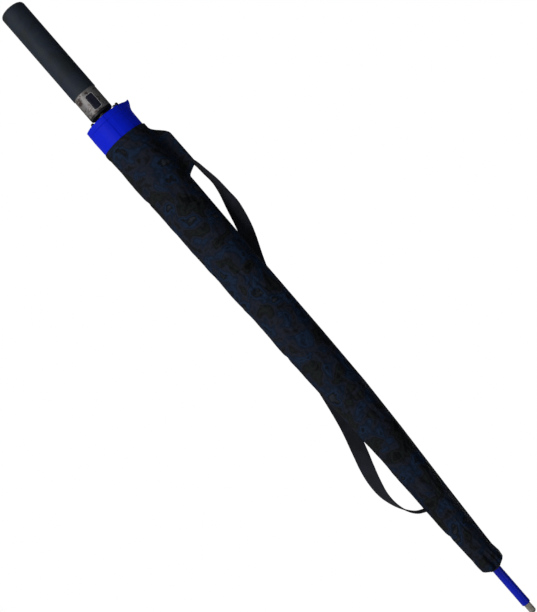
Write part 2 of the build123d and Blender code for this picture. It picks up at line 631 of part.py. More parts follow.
# The fold of spare cloth at the -X side seam holds the strap's lower end. It is one cloth with the sleeve.
FLAP_REACH = 51.0
Z_FLAP = Z_MOUTH + BINDING_HEIGHT
STRAP_GRIPPED = 6.0       # length of strap that the fold holds
Z_FLAP_TOP = route[0].Z + STRAP_GRIPPED
mouth_right, mouth_left, mouth_depth = sleeve_reaches()[0][1:]
with BuildPart() as sleeve:
    add(sleeve_form)
    with BuildSketch(Plane.XZ):
        with BuildLine():
            Polyline(
                (-mouth_left + 3, Z_FLAP), (-mouth_left - 3.5, Z_FLAP + 2), (-FLAP_REACH + 1.5, Z_FLAP + 19),
                (-FLAP_REACH, Z_FLAP + 29), (-FLAP_REACH, Z_FLAP_TOP),
                (-mouth_left + 3, Z_FLAP_TOP), close=True,
            )
        make_face()
    extrude(amount=FLAP_THICK / 2, both=True)
    add(strap.part, mode=Mode.SUBTRACT)
    add(sleeve_cavity, mode=Mode.SUBTRACT)
    with BuildSketch(Plane.XY.offset(Z_SLEEVE_END - 10)):
        Circle(END_HOLE_R)
    extrude(amount=20, mode=Mode.SUBTRACT)
keep("sleeve", sleeve.part)

with BuildPart() as binding:
    with BuildSketch(Plane.XY.offset(Z_MOUTH)):
        sleeve_section(mouth_right, mouth_left, mouth_depth, -BINDING_THICK)
    extrude(amount=BINDING_HEIGHT)
    add(sleeve_form, mode=Mode.SUBTRACT)
    add(sleeve_cavity, mode=Mode.SUBTRACT)
keep("mouth_binding", binding.part)

CORD_R = 0.9
with BuildPart() as end_cord:
    with BuildSketch(Plane.XZ):
        with Locations((END_HOLE_R + CORD_R + 0.2, Z_SLEEVE_END + CORD_R)):
            Circle(CORD_R)
    revolve(axis=Axis.Z)
keep("end_cord", end_cord.part)

print(f"{len(pieces)} nodes, {Z_FERRULE_TOP + TIP_LENGTH - Z_GRIP_END:.1f} mm long")
print(f"closed angle {CLOSED_ANGLE:.3f} deg, runner travel {RUNNER_TRAVEL:.2f} mm, notch at {Z_NOTCH:.2f}")
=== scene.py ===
# %% [markdown]
# # A golf umbrella in its carry sleeve
# The umbrella is closed. Its handle points down -Z and its ferrule points up +Z, and the sleeve hides almost
# all of the canopy. The hard parts come from the CAD frame as they are and only get a finish. The cloth parts
# are modelled here, because a CAD shell can't show folds, seams and pleats.

# %% Load the frame
import json
import math

import bmesh
import bpy
import numpy as np
from mathutils import Matrix, Vector, noise


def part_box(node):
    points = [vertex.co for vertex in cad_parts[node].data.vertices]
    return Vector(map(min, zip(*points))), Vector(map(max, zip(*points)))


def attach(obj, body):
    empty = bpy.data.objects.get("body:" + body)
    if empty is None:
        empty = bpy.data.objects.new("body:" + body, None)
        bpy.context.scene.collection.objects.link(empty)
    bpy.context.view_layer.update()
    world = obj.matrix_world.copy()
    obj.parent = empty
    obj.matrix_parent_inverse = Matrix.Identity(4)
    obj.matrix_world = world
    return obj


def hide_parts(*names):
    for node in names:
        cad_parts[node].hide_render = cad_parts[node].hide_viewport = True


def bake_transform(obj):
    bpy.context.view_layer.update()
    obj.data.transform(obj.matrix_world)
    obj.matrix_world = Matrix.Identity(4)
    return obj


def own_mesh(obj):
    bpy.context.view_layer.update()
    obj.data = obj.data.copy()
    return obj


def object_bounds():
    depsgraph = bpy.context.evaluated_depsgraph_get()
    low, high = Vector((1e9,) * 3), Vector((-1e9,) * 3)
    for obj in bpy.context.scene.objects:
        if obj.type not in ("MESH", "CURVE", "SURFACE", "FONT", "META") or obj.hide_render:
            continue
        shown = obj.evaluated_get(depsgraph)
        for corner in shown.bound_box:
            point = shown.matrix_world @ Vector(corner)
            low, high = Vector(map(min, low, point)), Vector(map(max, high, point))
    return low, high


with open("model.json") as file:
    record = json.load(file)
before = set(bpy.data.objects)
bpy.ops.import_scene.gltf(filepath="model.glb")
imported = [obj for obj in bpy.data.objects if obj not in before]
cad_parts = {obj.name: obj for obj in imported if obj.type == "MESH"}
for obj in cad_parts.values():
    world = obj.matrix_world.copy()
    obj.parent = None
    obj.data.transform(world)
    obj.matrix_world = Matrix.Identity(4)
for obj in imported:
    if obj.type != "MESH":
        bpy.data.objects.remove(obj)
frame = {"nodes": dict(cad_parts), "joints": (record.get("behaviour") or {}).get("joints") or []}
cad_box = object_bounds()
MM = 0.001
print("CAD box", [round(v, 4) for v in (*cad_box[0], *cad_box[1])])

# %% [markdown]
# ## Places read from the frame
# Every height comes from a CAD node's own box, so that the cloth stays with the parts if a size changes.

# %% Read the heights
mouth_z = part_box("mouth_binding")[0].z
binding_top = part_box("mouth_binding")[1].z
sleeve_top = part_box("sleeve")[1].z
sleeve_length = sleeve_top - mouth_z
rib_tip_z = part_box("rib_1")[0].z
notch_z = (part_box("notch_crown")[0].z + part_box("notch_crown")[1].z) / 2
bumper_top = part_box("collar_bumper")[1].z
hinges = {j["name"]: j for j in frame["joints"]}
ring_r = hinges["rib_1_hinge"]["pos_m"][0]
mid_joint = Vector(hinges["stretcher_1_hinge"]["pos_m"])
lean = math.atan2(mid_joint.x - ring_r, notch_z - mid_joint.z)
rib_length = (notch_z - rib_tip_z) / math.cos(lean)
RIBS = 8
STEP = 2 * math.pi / RIBS
print(f"mouth {mouth_z:.4f}, sleeve {sleeve_length:.4f} long")
print(f"rib {rib_length:.4f}, leans {math.degrees(lean):.2f} deg")

# %% [markdown]
# ## The camera and the light
# The umbrella lies across the view on a diagonal. Only the camera is rolled, since the frame stays where it
# is. The roll is found from where +Z and +X should point in the picture. A 1.5 m distance gives the slight
# curve that the round edges near the handle show.

# %% Place the camera
CAMERA_DISTANCE = 1.5
VIEW_HEIGHT = 0.7631
SENSOR_MM = 36.0
centre = Vector((0.0, 0.0, (cad_box[0].z + cad_box[1].z) / 2 - 0.008))
SHAFT_SLOPE = math.radians(49.04)
right = Vector((-math.sin(SHAFT_SLOPE), 0, math.cos(SHAFT_SLOPE)))
up = Vector((-math.cos(SHAFT_SLOPE), 0, -math.sin(SHAFT_SLOPE)))
back = Vector((0, -1, 0))
camera_data = bpy.data.cameras.new("camera")
camera_data.lens = SENSOR_MM * CAMERA_DISTANCE / VIEW_HEIGHT
camera_data.sensor_width = SENSOR_MM
camera = bpy.data.objects.new("camera", camera_data)
turn = Matrix((right, up, back)).transposed().to_4x4()
camera.matrix_world = Matrix.Translation(centre + back * CAMERA_DISTANCE) @ turn
bpy.context.scene.collection.objects.link(camera)
bpy.context.scene.camera = camera
bpy.context.scene.view_settings.view_transform = "Standard"
print(f"lens {camera_data.lens:.1f} mm")

# %% Soft studio light
def area_light(name, place, size, power):
    """A square soft light that faces the middle of the umbrella."""
    data = bpy.data.lights.new(name, "AREA")
    data.size = size
    data.energy = power
    lamp = bpy.data.objects.new(name, data)
    lamp.location = place
    lamp.rotation_euler = (centre - Vector(place)).to_track_quat("-Z", "Y").to_euler()
    bpy.context.scene.collection.objects.link(lamp)


area_light("key_light", (1.3, -1.5, 0.1), 0.9, 21)
area_light("fill_light", (-1.2, -1.6, 1.0), 1.2, 6)
area_light("rim_light", (-0.6, 1.4, 1.6), 1.0, 10)

# %% [markdown]
# ## The surroundings
# The object stands in a white studio, but a white room all round would wash grey over black cloth, because
# even dull cloth mirrors a few percent of what is round it. So the room is white where it is looked at, and
# dim where it lights. It is dimmest on one side and has one narrow bright panel, because a metal tube shows
# nothing but its surroundings: without something light and something dark to mirror, it looks like grey paint.

# %% A white studio that lights dimly
ROOM_TONES = [
    (0.00, (.07, .08, .10)), (0.28, (.05, .055, .07)), (0.31, (1.0, 1.0, 1.0)), (0.35, (.05, .05, .06)),
    (0.54, (.06, .06, .07)), (0.60, (.52, .49, .45)), (0.70, (.26, .23, .21)), (0.80, (.60, .57, .52)),
    (1.00, (.62, .58, .53)),
]
world = bpy.data.worlds.new("studio")
world.use_nodes = True
room = world.node_tree
lighting = room.nodes["Background"]
lighting.inputs["Strength"].default_value = 0.42
looked_at = room.nodes.new("ShaderNodeBackground")
looked_at.inputs["Color"].default_value = (1, 1, 1, 1)
direction = room.nodes.new("ShaderNodeTexCoord")
part_of = room.nodes.new("ShaderNodeSeparateXYZ")
room.links.new(direction.outputs["Generated"], part_of.inputs["Vector"])
to_share = room.nodes.new("ShaderNodeMapRange")
to_share.inputs["From Min"].default_value = -1
room.links.new(part_of.outputs["X"], to_share.inputs["Value"])
room_ramp = room.nodes.new("ShaderNodeValToRGB")
for n, (place, tone) in enumerate(ROOM_TONES):
    stops = room_ramp.color_ramp.elements
    stop = stops[n] if n < 1 else stops.new(place)
    stop.position, stop.color = place, (*tone, 1)
room.links.new(to_share.outputs["Result"], room_ramp.inputs["Fac"])
room.links.new(room_ramp.outputs["Color"], lighting.inputs["Color"])
ray = room.nodes.new("ShaderNodeLightPath")
choose = room.nodes.new("ShaderNodeMixShader")
room.links.new(ray.outputs["Is Camera Ray"], choose.inputs["Fac"])
room.links.new(lighting.outputs[0], choose.inputs[1])
room.links.new(looked_at.outputs[0], choose.inputs[2])
room.links.new(choose.outputs[0], room.nodes["World Output"].inputs["Surface"])
bpy.context.scene.world = world
print(len(ROOM_TONES), "tones round the room")

# %% [markdown]
# ## Mesh helpers
# Most cloth here is a sheet bent into a tube or a strip, so one helper makes a mesh from rows of points. It
# can close the rows into rings and lay out a UV map in real metres, which the weave is measured in.

# %% A mesh from rows of points
def sheet_mesh(name, rows, ring=False, uv=None, capped=False):
    """rows is an array of (rows, columns, 3) points. ring joins each row's last point to its first, and
    capped closes the first and last ring."""
    rows = np.asarray(rows, float)
    count, width = rows.shape[:2]
    across = width if ring else width - 1
    faces = []
    for r in range(count - 1):
        for c in range(across):
            d = (c + 1) % width
            faces.append((r * width + c, r * width + d, (r + 1) * width + d, (r + 1) * width + c))
    if capped:
        last = (count - 1) * width
        faces += [tuple(range(width - 1, -1, -1)), tuple(range(last, last + width))]
    mesh = bpy.data.meshes.new(name)
    mesh.from_pydata(rows.reshape(-1, 3).tolist(), [], faces)
    if uv is not None:
        flat = np.asarray(uv, float).reshape(-1, 2)
        layer = mesh.uv_layers.new(name="cloth")
        for loop in mesh.loops:
            layer.data[loop.index].uv = flat[loop.vertex_index]
    mesh.shade_smooth()
    piece = bpy.data.objects.new(name, mesh)
    bpy.context.scene.collection.objects.link(piece)
    return piece


def thicken(piece, thickness):
    """Gives a sheet its cloth's thickness, inwards."""
    solid = piece.modifiers.new("thickness", "SOLIDIFY")
    solid.thickness = thickness
    solid.offset = -1
    solid.thickness_clamp = 0.9
    apply_modifiers(piece)


def weld(piece, reach=1e-6):
    """Joins points that lie on each other, such as the first and last ring of a loop."""
    bm = bmesh.new()
    bm.from_mesh(piece.data)
    bmesh.ops.remove_doubles(bm, verts=bm.verts, dist=reach)
    bmesh.ops.recalc_face_normals(bm, faces=bm.faces)
    bm.to_mesh(piece.data)
    bm.free()


def apply_modifiers(piece):
    """Bakes the modifiers into the piece's own mesh."""
    graph = bpy.context.evaluated_depsgraph_get()
    mesh = bpy.data.meshes.new_from_object(piece.evaluated_get(graph))
    piece.modifiers.clear()
    piece.data = mesh


def smooth_step(low, high, value):
    """0 below low, 1 above high, and an even turn between them."""
    t = np.clip((np.asarray(value, float) - low) / (high - low), 0, 1)
    return t * t * (3 - 2 * t)


# %% [markdown]
# ## Finishes
# A finish is a small node tree. One helper lays down the parts that they share: two tones mixed by noise, a
# roughness that varies a little, and a bump made of one or two fine patterns.

# %% A finish from noise
def finish(name, tones, scale, rough, metallic=0.0, sheen=0.0, coat=0.0, grain=0.0, grain_scale=900.0,
           spread=0.12, gloss=0.5, swirl=0.0, reach=(0.38, 0.64)):
    """tones run from dark to light, scale is the mottling's size, swirl bends it, and reach is the part of
    the noise that the tones share out. grain is the height of the bump, gloss the strength of reflection."""
    material = bpy.data.materials.new(name)
    material.use_nodes = True
    nodes = material.node_tree.nodes
    links = material.node_tree.links
    shader = nodes["Principled BSDF"]
    shader.inputs["Metallic"].default_value = metallic
    shader.inputs["Sheen Weight"].default_value = sheen
    shader.inputs["Sheen Roughness"].default_value = 0.4
    shader.inputs["Coat Weight"].default_value = coat
    shader.inputs["Specular IOR Level"].default_value = gloss
    place = nodes.new("ShaderNodeTexCoord")
    mottle = nodes.new("ShaderNodeTexNoise")
    mottle.inputs["Scale"].default_value = scale
    mottle.inputs["Detail"].default_value = 6
    mottle.inputs["Distortion"].default_value = swirl
    links.new(place.outputs["Object"], mottle.inputs["Vector"])
    ramp = nodes.new("ShaderNodeValToRGB")
    ramp.color_ramp.elements[0].position = reach[0]
    ramp.color_ramp.elements[0].color = (*tones[0], 1)
    ramp.color_ramp.elements[1].position = reach[1]
    ramp.color_ramp.elements[1].color = (*tones[-1], 1)
    for n, tone in enumerate(tones[1:-1]):
        stop = ramp.color_ramp.elements.new(reach[0] + (reach[1] - reach[0]) * (n + 1) / (len(tones) - 1))
        stop.color = (*tone, 1)
    links.new(mottle.outputs["Fac"], ramp.inputs["Fac"])
    links.new(ramp.outputs["Color"], shader.inputs["Base Color"])
    vary = nodes.new("ShaderNodeMapRange")
    vary.inputs["To Min"].default_value = max(rough - spread, 0.03)
    vary.inputs["To Max"].default_value = min(rough + spread, 1.0)
    links.new(mottle.outputs["Fac"], vary.inputs["Value"])
    links.new(vary.outputs["Result"], shader.inputs["Roughness"])
    if grain:
        fine = nodes.new("ShaderNodeTexNoise")
        fine.inputs["Scale"].default_value = grain_scale
        fine.inputs["Detail"].default_value = 3
        links.new(place.outputs["Object"], fine.inputs["Vector"])
        bump = nodes.new("ShaderNodeBump")
        bump.name = "grain"
        bump.inputs["Strength"].default_value = grain
        bump.inputs["Distance"].default_value = 0.0004
        links.new(fine.outputs["Fac"], bump.inputs["Height"])
        links.new(bump.outputs["Normal"], shader.inputs["Normal"])
    return material


def add_weave(material, threads, height, along=(1, 1)):
    """Lays warp and weft threads over a finish, so many to the metre, on the cloth's UV map."""
    nodes = material.node_tree.nodes
    links = material.node_tree.links
    uv = nodes.new("ShaderNodeUVMap")
    uv.uv_map = "cloth"
    split = nodes.new("ShaderNodeSeparateXYZ")
    links.new(uv.outputs["UV"], split.inputs["Vector"])
    waves = []
    for axis, many in zip(("X", "Y"), along):
        scaled = nodes.new("ShaderNodeMath")
        scaled.operation = "MULTIPLY"
        scaled.inputs[1].default_value = threads * many * 2 * math.pi
        wave = nodes.new("ShaderNodeMath")
        wave.operation = "SINE"
        links.new(split.outputs[axis], scaled.inputs[0])
        links.new(scaled.outputs[0], wave.inputs[0])
        waves.append(wave)
    cross = nodes.new("ShaderNodeMath")
    cross.operation = "MULTIPLY"
    links.new(waves[0].outputs[0], cross.inputs[0])
    links.new(waves[1].outputs[0], cross.inputs[1])
    bump = nodes.new("ShaderNodeBump")
    bump.inputs["Strength"].default_value = height
    bump.inputs["Distance"].default_value = 0.0003
    links.new(cross.outputs[0], bump.inputs["Height"])
    if "grain" in nodes:
        links.new(nodes["grain"].outputs["Normal"], bump.inputs["Normal"])
    links.new(bump.outputs["Normal"], nodes["Principled BSDF"].inputs["Normal"])
    return material


# %% Mix the finishes
foam = finish(
    "foam_grip", [(.010, .016, .020), (.012, .020, .038), (.017, .027, .034)], 34, .66,
    grain=.5, grain_scale=1400, gloss=.30, swirl=.6)
black_plastic = finish(
    "black_plastic", [(.004, .005, .008), (.010, .011, .014)], 60, .42, grain=.15, gloss=.3)
chrome = finish(
    "collar_chrome", [(.06, .040, .036), (.16, .15, .145), (.22, .215, .215)], 95, .50,
    metallic=.55, spread=.06, swirl=1.6, reach=(.40, .52))
bright_trim = finish("bright_trim", [(.34, .34, .36), (.52, .52, .53)], 90, .40, metallic=.3, spread=.05)
button_plastic = finish(
    "button_plastic", [(.007, .008, .018), (.013, .015, .030)], 80, .34, grain=.1, gloss=.35)
steel = finish("drawn_steel", [(.34, .35, .37), (.46, .46, .48)], 40, .32, metallic=1, grain=.1)
blue_paint = finish(
    "blue_paint", [(.0, .007, .40), (.0, .012, .56)], 30, .50, coat=.06, spread=.06, gloss=.2)
tip_metal = finish(
    "dull_tip", [(.26, .255, .22), (.44, .43, .39)], 220, .5, metallic=.5, grain=.3, grain_scale=1800)
rib_black = finish("black_rib", [(.010, .010, .012), (.018, .018, .021)], 60, .36, grain=.1)
black_nickel = finish("black_nickel", [(.05, .05, .06), (.12, .12, .13)], 90, .3, metallic=.8)
canopy_blue = add_weave(
    finish("canopy_polyester", [(.0, .010, .62), (.0, .016, .82)], 16, .60, sheen=.04, gloss=.12), 2400, .08)
sleeve_nylon = add_weave(finish(
    "sleeve_nylon", [
        (.0016, .0028, .0038), (.011, .014, .014), (.0030, .0048, .0065), (.015, .017, .030),
        (.0045, .010, .022), (.009, .022, .054), (.0022, .0034, .0050), (.021, .026, .036)],
    46, .72, sheen=.0, grain=.12, grain_scale=420, gloss=.10, swirl=.35, reach=(.32, .70)), 1100, .22)
webbing = add_weave(finish(
    "strap_webbing", [(.005, .006, .010), (.012, .014, .024)], 60, .72, sheen=.05, gloss=.2), 420, .5, (2, 1))
thread = finish("thread", [(.010, .012, .018), (.020, .022, .032)], 300, .7, gloss=.2)
print(len(bpy.data.materials), "materials")

# %% [markdown]
# ## Finishes on the hard parts
# These parts keep their CAD shape. Each one's material slots are given its finish.

# %% Dress the CAD parts
def dress(node, material):
    """Gives a CAD part its finish."""
    part = frame["nodes"][node]
    part.data.materials.clear()
    part.data.materials.append(material)


FINISHES = {
    foam: ["handle_grip"],
    black_plastic: ["handle_end_cap", "handle_core", "collar_bumper", "notch_crown", "runner", "canopy_cap",
                    "canopy_washer"],
    chrome: ["button_collar"],
    button_plastic: ["push_button"],
    steel: ["shaft", "button_spring", "catch_lever", "catch_pin", "notch_ring", "runner_ring", "top_stop"],
    blue_paint: ["ferrule"],
    tip_metal: ["ferrule_tip"],
    rib_black: [f"{kind}_{n + 1}" for n in range(RIBS) for kind in ("rib", "stretcher")],
    black_nickel: [f"rib_fittings_{n + 1}" for n in range(RIBS)],
}
for material, parts in FINISHES.items():
    for part in parts:
        dress(part, material)

# %% [markdown]
# ## The bright frame round the button
# The push button stands in a slot whose rim is rolled over into a thin bright bead. A bead is a round wire
# bent along the slot's outline, so it is a small circle carried round a rounded rectangle and wrapped onto the
# collar's own curve.

# %% The button's frame
button_low, button_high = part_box("push_button")
collar_low, collar_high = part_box("button_collar")
collar_r = (collar_high.x - collar_low.x) / 2
button_at = math.atan2((button_low.y + button_high.y) / 2, (button_low.x + button_high.x) / 2)
FRAME_HALF_WIDE = 0.0056
FRAME_HALF_LONG = (button_high.z - button_low.z) / 2 - 0.0002
FRAME_CORNER = 0.0024
FRAME_WIRE = 0.00042


def frame_outline(steps=10):
    """Points round a rounded rectangle: along the curve of the collar, and up it."""
    outline = []
    for quarter, (sx, sy) in enumerate(((1, 1), (-1, 1), (-1, -1), (1, -1))):
        for k in range(steps + 1):
            a = (quarter + k / steps) * math.pi / 2
            outline.append((
                sx * (FRAME_HALF_WIDE - FRAME_CORNER) + FRAME_CORNER * math.cos(a),
                sy * (FRAME_HALF_LONG - FRAME_CORNER) + FRAME_CORNER * math.sin(a)))
    return outline


button_middle_z = (button_low.z + button_high.z) / 2
outline = frame_outline()
frame_rows = []
for k, (w, h) in enumerate(outline):
    before, after = outline[k - 1], outline[(k + 1) % len(outline)]
    run = Vector((after[0] - before[0], after[1] - before[1])).normalized()
    ring = []
    for m in range(8):
        b = math.pi * m / 4
        sideways = FRAME_WIRE * math.cos(b)
        at = button_at + (w + run.y * sideways) / collar_r
        r = collar_r + FRAME_WIRE * 0.5 + FRAME_WIRE * math.sin(b)
        ring.append((r * math.cos(at), r * math.sin(at), button_middle_z + h - run.x * sideways))
    frame_rows.append(ring)
frame_rows.append(frame_rows[0])
button_frame = sheet_mesh("button_frame", frame_rows, ring=True)
weld(button_frame)
button_frame.data.materials.append(bright_trim)
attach(button_frame, "shaft_and_handle")
print(f"frame {2000 * FRAME_HALF_WIDE:.1f} x {2000 * FRAME_HALF_LONG:.1f} mm")

# %% [markdown]
# ## The sleeve
# The sleeve is one piece of thin nylon sewn up one side. The tube is drawn as rings of points. On the -X side
# the seam stands out as a narrow fin, and below the strap it widens into a fold of spare cloth. Shallow folds
# run slantwise along the tube, and the far end is drawn in by a cord, so its cloth stands in pleats.

# %% The sleeve's outline
# Share of the length, then the reach to +X, to -X and to the back, in metres.
OUTLINE = np.array([
    (0.000, .0308, .0318, .0310), (0.140, .0292, .0322, .0298), (0.310, .0270, .0310, .0272),
    (0.480, .0248, .0305, .0248), (0.600, .0228, .0294, .0228), (0.700, .0208, .0262, .0210),
    (0.835, .0189, .0204, .0190), (0.935, .0172, .0166, .0170), (0.965, .0166, .0156, .0160),
    (0.982, .0160, .0170, .0160), (0.994, .0150, .0160, .0150), (1.000, .0096, .0098, .0092),
])
RING_POINTS = 176
FIN_POINTS = 11
FIN_REACH = 0.0176
FIN_HALF = 0.0022
SEAM_REACH = 0.0007


def fin_length(height):
    """How far the seam stands out at a height above the mouth."""
    swell = smooth_step(.006, .031, height) * (1 - smooth_step(.076, .088, height))
    return SEAM_REACH + (FIN_REACH - SEAM_REACH) * swell


GROOVE_DEPTH = 0.0046
GROOVE_WIDTH = 0.20
FOLD_IN = -0.0007


def fold_height(angle, height, share):
    """Slanting folds along the tube, and two lobes with a groove between them where the end is drawn in."""
    spot = Vector((math.cos(angle) * 1.6, math.sin(angle) * 1.6 + height * 7, height * 11))
    loose = noise.fractal(spot, 0.8, 2.0, 4) * 0.0016
    turned = angle + height * 9
    ridge = noise.noise(Vector((math.cos(turned) * 1.3, math.sin(turned) * 1.3, height * 16)))
    crease = -0.0012 * math.exp(-(ridge / 0.06) ** 2)
    settle = float(smooth_step(0.0, 0.05, share))
    gather = float(smooth_step(0.945, 0.985, share))
    folded = max((loose + crease) * settle, FOLD_IN) * (1 - 0.6 * gather)
    groove = sum(math.exp(-((angle - middle) / GROOVE_WIDTH) ** 2) for middle in (-math.pi / 2, math.pi / 2))
    pleat = 0.0007 * math.cos(11 * angle + 2.5 * math.sin(3 * angle)) - GROOVE_DEPTH * groove
    return folded + pleat * gather


def sleeve_ring(share):
    """One ring of the sleeve's cloth."""
    reach_right, reach_left, depth = (np.interp(share, OUTLINE[:, 0], OUTLINE[:, k]) for k in (1, 2, 3))
    height = share * sleeve_length
    middle, half = (reach_right - reach_left) / 2, (reach_right + reach_left) / 2
    opening = math.asin(min(FIN_HALF / depth, 1))
    ring = []
    for angle in np.linspace(-math.pi + opening, math.pi - opening, RING_POINTS):
        fold = fold_height(angle, height, share)
        keep = min(1, (math.pi - abs(angle)) / 0.3)
        wide, deep = half + fold * keep, depth + fold * keep
        ring.append((middle + wide * math.cos(angle), deep * math.sin(angle)))
    root = middle - half
    fin = float(fin_length(height))
    for k in range(1, FIN_POINTS):
        ring.append((root - fin * k / FIN_POINTS, FIN_HALF * (1 - 0.5 * k / FIN_POINTS)))
    ring.append((root - fin, 0.0))
    for k in range(FIN_POINTS - 1, 0, -1):
        ring.append((root - fin * k / FIN_POINTS, -FIN_HALF * (1 - 0.5 * k / FIN_POINTS)))
    return [(x, y, mouth_z + height) for x, y in ring]


# %% Make the sleeve
shares = np.unique(np.concatenate([
    np.linspace(0, 0.14, 60), np.linspace(0.14, 0.88, 190), np.linspace(0.88, 1, 70)]))
rings = np.array([sleeve_ring(s) for s in shares])
steps = np.linalg.norm(np.diff(rings, axis=1, append=rings[:, :1]), axis=2)
around = np.concatenate([np.zeros((len(rings), 1)), np.cumsum(steps, axis=1)[:, :-1]], axis=1)
sleeve_uv = np.stack([around, np.repeat((shares * sleeve_length)[:, None], rings.shape[1], 1)], -1)
sleeve = sheet_mesh("sleeve_cloth", rings, ring=True, uv=sleeve_uv)
thicken(sleeve, 0.0006)
sleeve.data.materials.append(sleeve_nylon)
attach(sleeve, "sleeve")
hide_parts("sleeve")
girth = float(steps[5].sum())
print(f"sleeve girth at the mouth {girth:.3f} m, {len(sleeve.data.vertices)} points")

# %% [markdown]
# ## The mouth's hem
# The mouth is turned over and stitched, which shows as a low raised band with a row of stitches along it.

# %% Hem and stitches
HEM_ROWS = 9


def hem_ring(k):
    """One ring of the turned hem, rolled over at both edges."""
    share = k / (HEM_ROWS - 1) * (binding_top - mouth_z) / sleeve_length
    bulge = 0.0005 * math.sin(math.pi * k / (HEM_ROWS - 1)) ** 0.5 + 0.0001
    ring = sleeve_ring(share)[:RING_POINTS]
    grown = []
    for x, y, z in ring:
        size = math.hypot(x, y)
        grown.append((x * (1 + bulge / size), y * (1 + bulge / size), z))
    return grown


hem_rows = np.array([hem_ring(k) for k in range(HEM_ROWS)])
hem_uv = np.stack(np.meshgrid(np.linspace(0, girth, RING_POINTS), hem_rows[:, 0, 2]), -1)
hem = sheet_mesh("mouth_hem", hem_rows, ring=True, uv=hem_uv)
thicken(hem, 0.0005)
hem.data.materials.append(sleeve_nylon)
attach(hem, "sleeve")
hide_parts("mouth_binding")


def stitch_row(name, path, length=0.0022, gap=0.0012, radius=0.00022):
    """Short round stitches laid end to end along a path of points."""
    path = np.asarray(path, float)
    runs = np.concatenate([[0], np.cumsum(np.linalg.norm(np.diff(path, axis=0), axis=1))])
    points, faces = [], []
    for start in np.arange(0, runs[-1] - length, length + gap):
        ends = [Vector([np.interp(start + d, runs, path[:, k]) for k in range(3)]) for d in (0, length)]
        along = (ends[1] - ends[0]).normalized()
        side = along.orthogonal().normalized()
        other = along.cross(side)
        base = len(points)
        for share, size in ((0, .3), (.2, 1), (.8, 1), (1, .3)):
            for n in range(6):
                a = n * math.pi / 3
                round_it = (side * math.cos(a) + other * math.sin(a)) * radius * size
                points.append(ends[0].lerp(ends[1], share) + round_it)
        for r in range(3):
            for n in range(6):
                m = (n + 1) % 6
                faces.append((base + 6 * r + n, base + 6 * r + m, base + 6 * r + 6 + m, base + 6 * r + 6 + n))
        faces += [tuple(base + n for n in range(5, -1, -1)), tuple(base + 18 + n for n in range(6))]
    mesh = bpy.data.meshes.new(name)
    mesh.from_pydata([tuple(p) for p in points], [], faces)
    mesh.shade_smooth()
    row = bpy.data.objects.new(name, mesh)
    row.data.materials.append(thread)
    bpy.context.scene.collection.objects.link(row)
    return row


hem_stitches = stitch_row("hem_stitches", hem_rows[HEM_ROWS - 2])
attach(hem_stitches, "sleeve")

# %% [markdown]
# ## The draw cord at the gathered end

# %% Draw cord
cord_low, cord_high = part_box("end_cord")
CORD_TURNS = 96
cord_mid = (cord_high.x + cord_low.x) / 2
cord_r = (cord_high.z - cord_low.z) / 2
cord_ring_r = (cord_high.x - cord_low.x) / 2 - cord_r
cord_rows = []
for n in range(CORD_TURNS):
    a = 2 * math.pi * n / CORD_TURNS
    row = []
    for k in range(12):
        b = 2 * math.pi * k / 12
        twist = 1 + 0.10 * math.cos(2 * b + 20 * a)
        r = cord_ring_r + cord_r * twist * math.cos(b)
        z = (cord_low.z + cord_high.z) / 2 + cord_r * twist * math.sin(b)
        row.append((cord_mid + r * math.cos(a), r * math.sin(a), z))
    cord_rows.append(row)
cord_rows.append(cord_rows[0])
draw_cord = sheet_mesh("draw_cord", np.array(cord_rows), ring=True)
weld(draw_cord)
draw_cord.data.materials.append(thread)
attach(draw_cord, "sleeve")
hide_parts("end_cord")

# %% [markdown]
# ## The shoulder strap
# The strap is flat webbing. It is sewn to the fold of cloth near the mouth, twists to lie flat behind the
# sleeve, and twists back to edge-on where it is sewn to the other side. It is modelled directly as a swept
# strip, since a cloth simulation would lose its crisp edges.

# %% The strap's route
# x, y and height above the mouth in millimetres, and the turn from edge-on to flat in degrees.
STRAP_ROUTE = np.array([
    (-46.0, 0.0, 73, 8), (-48.4, 0.2, 81, 10), (-50.0, 0.5, 94, 14), (-52.0, 2.0, 112, 20),
    (-51.0, 5.0, 132, 36),
    (-48.2, 9.5, 153, 66), (-40.6, 17.0, 184, 85), (-25.5, 27.0, 222, 90), (-12.0, 31.0, 262, 90),
    (0.0, 31.0, 315, 90), (10.0, 29.0, 376, 90), (22.0, 25.0, 446, 90), (33.0, 16.0, 486, 80),
    (39.5, 9.5, 507, 66), (44.0, 6.0, 526, 50), (46.0, 4.0, 545, 32), (43.5, 2.0, 563, 16),
    (37.6, 1.0, 578, 6), (28.8, 0.5, 589, 2), (16.6, 0.0, 595, 0),
])
STRAP_HALF = 0.0100
STRAP_THICK = 0.0016
STRAP_STEPS = 12


def smooth_route(points, steps):
    """A Catmull-Rom curve through the points."""
    padded = np.vstack([2 * points[0] - points[1], points, 2 * points[-1] - points[-2]])
    out = []
    for n in range(1, len(padded) - 2):
        a, b, c, d = padded[n - 1:n + 3]
        for t in np.arange(steps) / steps:
            out.append(0.5 * (2 * b + (c - a) * t + (2 * a - 5 * b + 4 * c - d) * t ** 2
                              + (3 * b - a - 3 * c + d) * t ** 3))
    out.append(points[-1])
    return np.array(out)


